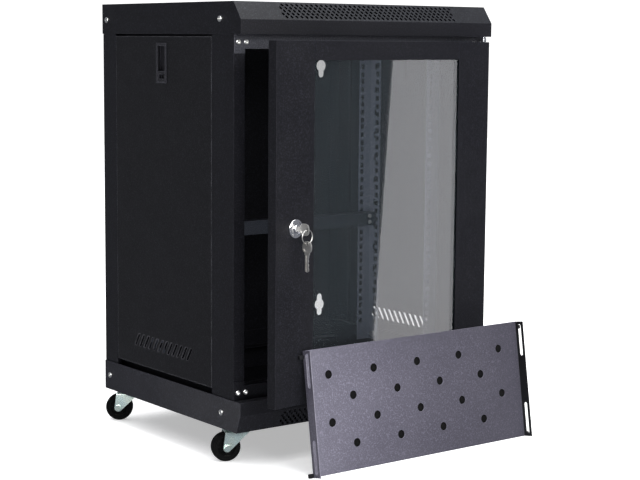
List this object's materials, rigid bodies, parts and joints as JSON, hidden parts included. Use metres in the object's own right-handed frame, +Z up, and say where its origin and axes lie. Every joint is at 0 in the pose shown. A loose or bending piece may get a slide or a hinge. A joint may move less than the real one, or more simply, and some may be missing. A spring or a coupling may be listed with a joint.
{
  "type": "network server rack cabinet",
  "caption": "Compact 19-inch network cabinet on swivel casters, with an ajar glazed front door, latched side panels, internal rails and a loose perforated shelf leaning on it.",
  "frame": {"origin": "centre of the rear panel's outer face, halfway up the cabinet body; the floor is at Z = -0.417", "axes": "+Z up, +Y out of the back towards a wall, so the glazed door faces -Y; +X to the right as seen from the front"},
  "size_m": [0.5748, 0.5827, 0.774],
  "materials": {
    "powder_coat": "fine-textured black powder coat, satin",
    "shelf_coat": "grey-violet powder coat, satin",
    "tinted_glass": "grey-tinted toughened glass, polished",
    "chrome": "polished chrome plate",
    "zinc": "bright zinc plate with a faint blue passivation",
    "rubber": "black rubber, matte",
    "black_plastic": "moulded black plastic, fine grain"
  },
  "bodies": {
    "cabinet": {"top_cover": "powder_coat", "base_tray": "powder_coat", "top_cable_cover": "powder_coat", "bottom_cable_cover": "powder_coat", "front_left_post": "powder_coat", "front_right_post": "powder_coat", "rear_left_post": "powder_coat", "rear_right_post": "powder_coat", "front_left_rail": "powder_coat", "front_right_rail": "powder_coat", "rear_left_rail": "powder_coat", "rear_right_rail": "powder_coat", "top_left_beam": "powder_coat", "top_right_beam": "powder_coat", "bottom_left_beam": "powder_coat", "bottom_right_beam": "powder_coat", "top_front_beam": "powder_coat", "bottom_front_beam": "powder_coat", "top_rear_beam": "powder_coat", "bottom_rear_beam": "powder_coat", "rear_panel": "powder_coat", "rear_crossbar": "powder_coat", "front_left_caster_plate": "zinc", "front_right_caster_plate": "zinc", "rear_left_caster_plate": "zinc", "rear_right_caster_plate": "zinc"},
    "door": {"door_frame": "powder_coat", "glass_gasket": "rubber", "door_glass": "tinted_glass", "glass_retainer": "powder_coat", "hinge_spacer": "chrome", "hinge_bracket": "zinc", "bottom_hinge_pin": "zinc", "lock_housing": "chrome"},
    "hinge_pin": {"top_hinge_pin": "zinc"},
    "lock": {"lock_plug": "chrome", "lock_cam": "zinc", "key": "chrome"},
    "key_ring": {"key_ring": "zinc"},
    "spare_key": {"spare_key": "chrome"},
    "left_panel": {"left_side_panel": "powder_coat", "left_latch_housing": "black_plastic"},
    "right_panel": {"right_side_panel": "powder_coat", "right_latch_housing": "black_plastic"},
    "left_latch": {"left_latch_slide": "black_plastic"},
    "right_latch": {"right_latch_slide": "black_plastic"},
    "shelf": {"rack_shelf": "shelf_coat"},
    "front_left_fork": {"front_left_caster_fork": "zinc", "front_left_axle_bolt": "zinc"},
    "front_left_wheel": {"front_left_wheel": "rubber"},
    "front_right_fork": {"front_right_caster_fork": "zinc", "front_right_axle_bolt": "zinc"},
    "front_right_wheel": {"front_right_wheel": "rubber"},
    "rear_left_fork": {"rear_left_caster_fork": "zinc", "rear_left_axle_bolt": "zinc"},
    "rear_left_wheel": {"rear_left_wheel": "rubber"},
    "rear_right_fork": {"rear_right_caster_fork": "zinc", "rear_right_axle_bolt": "zinc"},
    "rear_right_wheel": {"rear_right_wheel": "rubber"}
  },
  "joints": [
    {"name": "door_hinge", "type": "hinge", "parent": "cabinet", "child": "door", "pos_m": [0.265, -0.4408, 0], "axis": [0, 0, 1], "range_deg": [-9, 101]},
    {"name": "hinge_pin_pull", "type": "slide", "parent": "door", "child": "hinge_pin", "axis": [0, 0, -1], "range_m": [0, 0.009], "stiffness_N_per_m": 300, "springref_m": -0.004},
    {"name": "lock_turn", "type": "hinge", "parent": "door", "child": "lock", "pos_m": [-0.21924, -0.52661, -0.008], "axis": [-0.1564, 0.9877, 0], "range_deg": [0, 90]},
    {"name": "key_ring_swing", "type": "hinge", "parent": "lock", "child": "key_ring", "pos_m": [-0.21514, -0.55249, -0.008], "axis": [0.9877, 0.1564, 0], "range_deg": [-30, 15]},
    {"name": "spare_key_hang", "type": "hinge", "parent": "key_ring", "child": "spare_key", "pos_m": [-0.21514, -0.55249, -0.019], "axis": [-0.1564, 0.9877, 0], "range_deg": [-90, 0]},
    {"name": "left_panel_tilt", "type": "hinge", "parent": "cabinet", "child": "left_panel", "pos_m": [-0.2732, -0.2035, -0.293], "axis": [0, -1, 0], "range_deg": [0, 20]},
    {"name": "right_panel_tilt", "type": "hinge", "parent": "cabinet", "child": "right_panel", "pos_m": [0.2732, -0.2035, -0.293], "axis": [0, 1, 0], "range_deg": [0, 20]},
    {"name": "left_latch_lift", "type": "slide", "parent": "left_panel", "child": "left_latch", "axis": [0, 0, 1], "range_m": [0, 0.008], "stiffness_N_per_m": 150, "springref_m": -0.003},
    {"name": "right_latch_lift", "type": "slide", "parent": "right_panel", "child": "right_latch", "axis": [0, 0, 1], "range_m": [0, 0.008], "stiffness_N_per_m": 150, "springref_m": -0.003},
    {"name": "shelf_lift_away", "type": "slide", "parent": "door", "child": "shelf", "axis": [0, -1, 0], "range_m": [0, 0.3]},
    {"name": "front_left_swivel", "type": "hinge", "parent": "cabinet", "child": "front_left_fork", "pos_m": [-0.237, -0.392, -0.357], "axis": [0, 0, 1], "continuous": true},
    {"name": "front_left_wheel_spin", "type": "hinge", "parent": "front_left_fork", "child": "front_left_wheel", "pos_m": [-0.25925, -0.38301, -0.392], "axis": [-0.3746, -0.9272, 0], "continuous": true},
    {"name": "front_right_swivel", "type": "hinge", "parent": "cabinet", "child": "front_right_fork", "pos_m": [0.237, -0.392, -0.357], "axis": [0, 0, 1], "continuous": true},
    {"name": "front_right_wheel_spin", "type": "hinge", "parent": "front_right_fork", "child": "front_right_wheel", "pos_m": [0.25925, -0.38301, -0.392], "axis": [-0.3746, 0.9272, 0], "continuous": true},
    {"name": "rear_left_swivel", "type": "hinge", "parent": "cabinet", "child": "rear_left_fork", "pos_m": [-0.237, -0.034, -0.357], "axis": [0, 0, 1], "continuous": true},
    {"name": "rear_left_wheel_spin", "type": "hinge", "parent": "rear_left_fork", "child": "rear_left_wheel", "pos_m": [-0.25511, -0.01826, -0.392], "axis": [-0.6561, -0.7547, 0], "continuous": true},
    {"name": "rear_right_swivel", "type": "hinge", "parent": "cabinet", "child": "rear_right_fork", "pos_m": [0.237, -0.034, -0.357], "axis": [0, 0, 1], "continuous": true},
    {"name": "rear_right_wheel_spin", "type": "hinge", "parent": "rear_right_fork", "child": "rear_right_wheel", "pos_m": [0.25511, -0.01826, -0.392], "axis": [-0.6561, 0.7547, 0], "continuous": true}
  ],
  "couplings": [
    {"joint": "spare_key_hang", "follows": "lock_turn", "ratio": -1}
  ]
}
